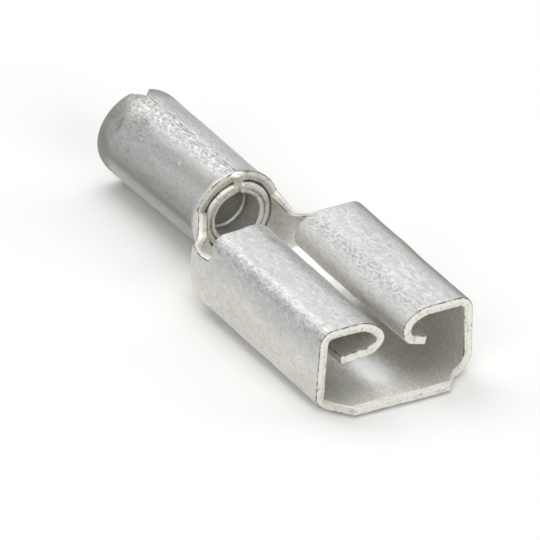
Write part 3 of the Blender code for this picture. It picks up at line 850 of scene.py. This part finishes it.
# The share of the lip, from its front back, that looks fully cut, and how many times as wide as the crease
# its band of specks is
FACE_SHARE = 0.3
SPECKS_WIDER = 1.4


def lining_profile():
    """The wall's closed outline as points (distance in front of the mouth, radius), from the front of its
    outside back, round the rear lip and forward through the bore, in even steps of length."""
    quarter = np.radians(np.linspace(0, 90, LIP_POINTS))
    round_in = LIP * np.sin(quarter)
    round_on = LIP * np.cos(quarter)
    rear = LINING_PROUD - LINING_LENGTH
    back = np.linspace(LINING_PROUD - LIP, rear + LIP, OUTSIDE_POINTS)
    bore = np.linspace(rear + LIP, LINING_PROUD - LIP, BORE_POINTS)
    grooved = BORE + 0 * bore
    for behind in GROOVES:
        off = abs(bore - LINING_PROUD + behind)
        grooved += GROOVE_DEPTH * smooth(-off, -GROOVE_WIDTH / 2, -GROOVE_WIDTH / 4)
        grooved -= BURR * bell(off, GROOVE_WIDTH / 2 + BURR, BURR)
    outside = LINING_OUTER + mouth_flare(BARREL_MOUTH + np.minimum(back, 0.0)) * FLARE_FOLLOWED
    mouth = outside[0]
    across = np.linspace(BORE + LIP, mouth - LIP, FACE_POINTS)[1:-1]
    crease_depth, crease_width = CREASE
    creased = LINING_PROUD - crease_depth * bell(across, across.mean(), crease_width)
    front = LINING_PROUD - LIP
    x = [back, rear + LIP - round_in, rear + LIP - round_on, bore]
    x += [front + round_in, creased, front + round_on]
    r = [outside, LINING_OUTER - LIP + round_on, BORE + LIP - round_in, grooved]
    r += [BORE + LIP - round_on, across, mouth - LIP + round_in]
    return np.concatenate(x), np.concatenate(r)


def lining_mesh():
    """The profile turned round the barrel's axis. Near the top the seam draws the bore out and the lip back.
    With each point come the same attributes as on the strip: burrs get a painted highlight, and the crease is
    speckled."""
    x, r = lining_profile()
    turn = np.linspace(0.0, 2 * math.pi, ROUND_POINTS + 1)[:-1, None]
    from_seam = abs(np.angle(np.exp(1j * turn))) * BORE
    seam_width, drawn_out, drawn_back = LINING_SEAM
    seam = np.clip(1 - from_seam / seam_width, 0.0, 1.0)
    share = np.clip((LINING_OUTER - r) / LINING, 0.0, 1.0)
    radius = r + seam * drawn_out * share
    ahead = x - seam * drawn_back * smooth(x, SEAM_DRAWN_FROM, LINING_PROUD)
    points = np.stack(
        [
            BARREL_MOUTH + ahead,
            radius * np.sin(turn),
            AXIS_HEIGHT + ahead * math.tan(DROOP) + radius * np.cos(turn),
        ],
        axis=-1,
    )
    wrapped = np.arange(turn.size * x.size).reshape(turn.size, x.size)
    after = np.roll(wrapped, -1, axis=0)
    corners = (wrapped, np.roll(wrapped, -1, axis=1), np.roll(after, -1, axis=1), after)
    faces = np.stack(corners, axis=-1).reshape(-1, 4)
    inner = 1 - smooth(radius, BORE, BORE + LIP)
    face = smooth(x + 0 * turn, LINING_PROUD - LIP, LINING_PROUD - FACE_SHARE * LIP)
    crease = face * bell(radius, (BORE + LINING_OUTER) / 2, SPECKS_WIDER * CREASE[1])
    behind_lip = [abs(x - LINING_PROUD + behind) for behind in GROOVES]
    burrs = inner * sum(bell(off, GROOVE_WIDTH / 2 + BURR, BURR) for off in behind_lip)
    flat = np.stack([x - FLAT_BEHIND + 0 * turn, turn * BORE + 0 * x, radius], axis=-1)
    # Painted highlights on the burrs, and specks in the crease
    shares = marked((0, 0.2, 0.4, 0), [(burrs, (1.2, 0, 0, 0)), (crease, (0, 0.8, 0, 0))])
    edge = np.stack([face * (1 - crease), inner * (1 - burrs), shares[..., 3]], axis=-1)
    attributes = {"flat": flat, "edge": edge, "marks_and_light": shares[..., :3]}
    return points.reshape(-1, 3), [faces], {name: v.reshape(-1, 3) for name, v in attributes.items()}


points, faces, attributes = lining_mesh()
lining = new_piece("barrel_lining", points, faces, attributes)
lining.data.materials.append(tin_plate("tin_over_copper"))
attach(lining, "root")
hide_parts("barrel_sleeve")

# The braze
# Silver filler was melted into the barrel's seam. It stands in the seam as a thin uneven line, and set at
# the mouth as a lump on the barrel's edge with a run down the face of the lining.
LUMP = (0.2, 0.33, 0.09)
LUMP_SINK = 0.09
LUMP_BEHIND = 0.05
LUMP_WAVES = (0.05, 0.04)
LUMP_RINGS = 40
LUMP_SIDES = 56
# Half the run's width and depth, at its top and at its foot
RUN_WIDTH = (0.36, 0.12)
RUN_DEPTH = (0.1, 0.05)
RUN_RINGS = 45
RUN_SIDES = 40
RUN_SWAY = 0.02
# How far the run's top stands above the mouth, and its foot above the bore and to the left
RUN_ABOVE_MOUTH = 0.02
RUN_ABOVE_BORE = 0.1
RUN_LEFT = 0.06
# Half the filler's width and height in the seam, and how far it stands in front of the mouth and stops
# short of the notch
FILLER = (0.055, 0.04)
FILLER_IN_FRONT = 0.06
FILLER_SHORT = 0.12
FILLER_SWAY = 0.012
FILLER_RINGS = 330
FILLER_SIDES = 16
# The filler's size: its middle, the height and length of two sums of waves on it, its limits, and the power
# of the sine that ends it. A low power keeps it full up to near its ends.
FILLER_LEVEL = 0.75
SHORT_WAVES = (0.3, 0.5)
LONG_WAVES = (0.25, 1.7)
FILLER_LIMITS = (0.15, 1.3)
FILLER_ENDS = 0.15


def around(sides):
    """The angles of points round a ring."""
    return np.linspace(0.0, 2 * math.pi, sides + 1)[None, :-1]


def closed_rings(rings):
    """Faces of rings of points from pole to pole: the first and last ring are each one point."""
    count = rings.shape[1]
    grid = 1 + np.arange((rings.shape[0] - 2) * count).reshape(-1, count)
    last = grid[-1, -1] + 1
    after = np.roll(grid, -1, axis=1)
    body = np.stack([grid[:-1], grid[1:], after[1:], after[:-1]], axis=-1).reshape(-1, 4)
    start = np.stack([np.zeros(count, int), grid[0], after[0]], axis=-1)
    end = np.stack([np.full(count, last), after[-1], grid[-1]], axis=-1)
    points = np.concatenate([rings[0, :1], rings[1:-1].reshape(-1, 3), rings[-1, :1]])
    return points, [body, start, end]


def ball(centre, radii, phase):
    """An ellipsoid round X with a wavy skin: rings of points from its front pole to its back one."""
    down = np.linspace(0.0, math.pi, LUMP_RINGS)[:, None]
    turn = around(LUMP_SIDES)
    round_it, lengthwise = LUMP_WAVES
    skin = 1 + round_it * np.sin(3 * turn + phase) * np.sin(down) ** 2 + lengthwise * np.sin(5 * down + phase)
    x = np.cos(down) * skin * radii[0] + 0 * turn
    y = np.sin(down) * np.sin(turn) * skin * radii[1]
    z = np.sin(down) * np.cos(turn) * skin * radii[2]
    return np.stack([x, y, z], axis=-1) + np.array(centre)


def seam_line():
    """The filler in the seam: a thin ellipse carried along the barrel's top line. Its size is uneven by two
    sums of waves and goes to nothing at the ends, and its middle sways."""
    half_width, half_height = FILLER
    x = np.linspace(BARREL_MOUTH - FILLER_IN_FRONT, BARREL_END + SEAM_NOTCH + FILLER_SHORT, FILLER_RINGS)
    size = FILLER_LEVEL + SHORT_WAVES[0] * waves(x, 0 * x, SHORT_WAVES[1])
    size += LONG_WAVES[0] * waves(x, 0 * x + 3, LONG_WAVES[1])
    size = size.clip(*FILLER_LIMITS) * np.sin(math.pi * np.linspace(0, 1, len(x))) ** FILLER_ENDS
    size = size[:, None]
    top = (axis_height(x) + barrel_radius(x))[:, None]
    turn = around(FILLER_SIDES)
    y = half_width * size * np.sin(turn) + FILLER_SWAY * waves(x, 0 * x + 9, 0.8)[:, None]
    z = top - half_height * 0.9 + half_height * size * np.cos(turn)
    return np.stack([x[:, None] + 0 * y, y, z], axis=-1)


def funnel(high, low):
    """The run on the mouth: flat ellipses from high to low, whose width shrinks with the square of what is
    left to go, with a round pole at each end and slow waves in its middle line."""
    going = (1 - np.cos(np.linspace(0.0, math.pi, RUN_RINGS)))[:, None] / 2
    turn = around(RUN_SIDES)
    pole = np.sqrt(np.clip(1 - (2 * going - 1) ** 8, 0.0, 1.0))
    left_to_go = (1 - going) ** 2
    width, depth = ((foot + (head - foot) * left_to_go) * pole for head, foot in (RUN_WIDTH, RUN_DEPTH))
    x = high[0] + (low[0] - high[0]) * going + depth * np.cos(turn)
    y = high[1] + (low[1] - high[1]) * going + width * np.sin(turn) + RUN_SWAY * np.sin(5 * going)
    return np.stack([x, y, high[2] + (low[2] - high[2]) * going + 0 * turn], axis=-1)


top = AXIS_HEIGHT + MOUTH_RADIUS
lump = ball((BARREL_MOUTH - LUMP_BEHIND, 0.0, top + FLARE - LUMP_SINK), LUMP, 1.0)
run_top = (BARREL_MOUTH, 0.0, top + RUN_ABOVE_MOUTH)
run_foot = (BARREL_MOUTH + LINING_PROUD, -RUN_LEFT, AXIS_HEIGHT + BORE + RUN_ABOVE_BORE)
run = funnel(run_top, run_foot)
points = []
faces = []
for rings in (lump, run, seam_line()):
    more, groups = closed_rings(rings)
    faces += [group + sum(map(len, points)) for group in groups]
    points.append(more)
points = np.concatenate(points)
braze = new_piece("braze", points, faces, {"flat": points})

CREAM = (0.70, 0.65, 0.57)
PALE_CREAM = (0.84, 0.81, 0.75)
PORE = (0.22, 0.20, 0.15)
# How far behind the mouth the braze starts to look like the tin beside the seam, and where it fully does
SEAM_TONE = (0.2, 0.6)


def braze_metal():
    """Silver braze: a warm pinkish cream with a satin skin and small dark pores, and grey in the seam."""
    material, shader, start = new_material("silver_braze")
    flat = start.attribute("flat")
    cloud = flat.noise(3.0, seed=2.0)
    pores = flat.noise(9.0, detail=2.0, seed=8.0).ramp(0.62, 0.72)
    seam_grains = flat.noise(5.0, detail=4.0, seed=4.0).ramp(0.3, 0.5)
    in_seam = (0.0 - flat.parts()[0]).ramp(*(behind - BARREL_MOUTH for behind in SEAM_TONE))
    tone = cloud.ramp(0.35, 0.65).mix(CREAM, PALE_CREAM)
    tone = in_seam.mix(tone, seam_grains.mix(FINE_DARK, PALE))
    tone = (pores * 0.7).mix(tone, PORE)
    height = cloud - pores * 0.5
    roughness = 0.4 + cloud * 0.1
    connect(start, shader, Base_Color=tone, Metallic=1.0, Roughness=roughness, Normal=height.bump(0.5))
    return material


braze.data.materials.append(braze_metal())
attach(braze, "root")
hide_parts("terminal_body")

# The table
# A plain white table top under the terminal. It takes the soft shadow, and glows a little so that it shows
# white round it.
TABLE = 3.0
TABLE_WHITE = (0.8, 0.8, 0.79, 1.0)
GLOW = (1.0, 1.0, 0.985)
GLOW_STRENGTH = 0.03


def seen_ray(start):
    """1 for a ray from the camera, or one that a gloss or glass sends on, and 0 for the rest."""
    outputs = ("Is Camera Ray", "Is Glossy Ray", "Is Transmission Ray")
    camera_ray, gloss_ray, glass_ray = (start.node("ShaderNodeLightPath", {}, {}, name) for name in outputs)
    return start.math("MAXIMUM", start.math("MAXIMUM", camera_ray, gloss_ray), glass_ray)


corner = TABLE / 2
corners = [(-corner, -corner, 0), (corner, -corner, 0), (corner, corner, 0), (-corner, corner, 0)]
mesh = bpy.data.meshes.new("table")
mesh.from_pydata(corners, [], [(0, 1, 2, 3)])
table = bpy.data.objects.new("table", mesh)
bpy.context.scene.collection.objects.link(table)
material, shader, start = new_material("white_table")
glow = seen_ray(start).mix((0.0, 0.0, 0.0), GLOW)
connect(start, shader, Base_Color=TABLE_WHITE, Roughness=0.9, Specular_IOR_Level=0.0)
connect(start, shader, Emission_Color=glow, Emission_Strength=GLOW_STRENGTH)
mesh.materials.append(material)

# The lamps
# Soft studio light: seven square panels round the terminal, brightest in front of its mouth and behind its
# barrel, and a dim even room. Sizes are in metres.
PANEL_DISTANCE = 0.5
PANEL_SIZE = 0.3
ROOM = (0.07, 0.07, 0.07)
# Where each panel stands round the terminal, from its mouth towards its right; how high; and its watts
PANELS = {
    "front_panel": (0, 22, 1.15),
    "front_left_panel": (-52, 37, 0.8),
    "rear_left_panel": (-145, 27, 0.4),
    "rear_panel": (180, 52, 0.98),
    "rear_right_panel": (120, 52, 0.57),
    "right_panel": (82, 28, 0.42),
    "overhead_panel": (0, 88, 0.68),
}
for name, (round_it, height, watts) in PANELS.items():
    round_it = math.radians(round_it)
    height = math.radians(height)
    out = math.cos(height)
    away = Vector((out * math.cos(round_it), out * math.sin(round_it), math.sin(height))).normalized()
    light = bpy.data.lights.new(name, "AREA")
    light.shape = "RECTANGLE"
    light.size = PANEL_SIZE
    light.size_y = PANEL_SIZE
    light.energy = watts
    lamp = bpy.data.objects.new(name, light)
    lamp.location = away * PANEL_DISTANCE
    lamp.rotation_euler = away.to_track_quat("Z", "Y").to_euler()
    bpy.context.scene.collection.objects.link(lamp)

scene = bpy.context.scene
scene.view_settings.view_transform = "Standard"
world = bpy.data.worlds.new("room")
scene.world = world
world.use_nodes = True
background = world.node_tree.nodes["Background"]
background.inputs["Color"].default_value = (*ROOM, 1.0)

# The camera
# It looks down at 30 degrees from the front and the left, rolled by 2 degrees, through a very long lens.
# One mm of the terminal covers 29.95 pixels of the picture, and its straight origin lies at (392.6, 388.7).
AZIMUTH = math.radians(58.8)
ELEVATION = math.radians(29.9)
ROLL = math.radians(2.4)
PIXELS = 540
PIXELS_IN_A_MM = 29.95
ORIGIN_PIXEL = (392.6, 388.7)
DISTANCE = 700.0
SENSOR = 36.0
MIDDLE_X = -8.1
CLIP_END = 10.0

back = Vector(
    (
        math.cos(ELEVATION) * math.sin(AZIMUTH),
        -math.cos(ELEVATION) * math.cos(AZIMUTH),
        math.sin(ELEVATION),
    )
)
level = Vector((math.cos(AZIMUTH), math.sin(AZIMUTH), 0.0))
across = Matrix.Rotation(ROLL, 3, back) @ level
upward = back.cross(across)
view_width = PIXELS / PIXELS_IN_A_MM
aim = across * (PIXELS / 2 - ORIGIN_PIXEL[0]) / PIXELS_IN_A_MM
aim += upward * (ORIGIN_PIXEL[1] - PIXELS / 2) / PIXELS_IN_A_MM
aim += back * (Vector((MIDDLE_X, 0.0, 0.0)) - aim).dot(back)
turn = Matrix((across, upward, back)).transposed().to_4x4()
camera_data = bpy.data.cameras.new("camera")
camera_data.sensor_width = SENSOR
camera_data.lens = SENSOR * DISTANCE / view_width
camera_data.clip_end = CLIP_END
camera = bpy.data.objects.new("camera", camera_data)
place = as_it_lies @ Matrix.Translation(aim + back * DISTANCE)
camera.matrix_world = Matrix.Translation(place.translation) @ tipped @ turn
scene.collection.objects.link(camera)
scene.camera = camera

bpy.context.view_layer.update()
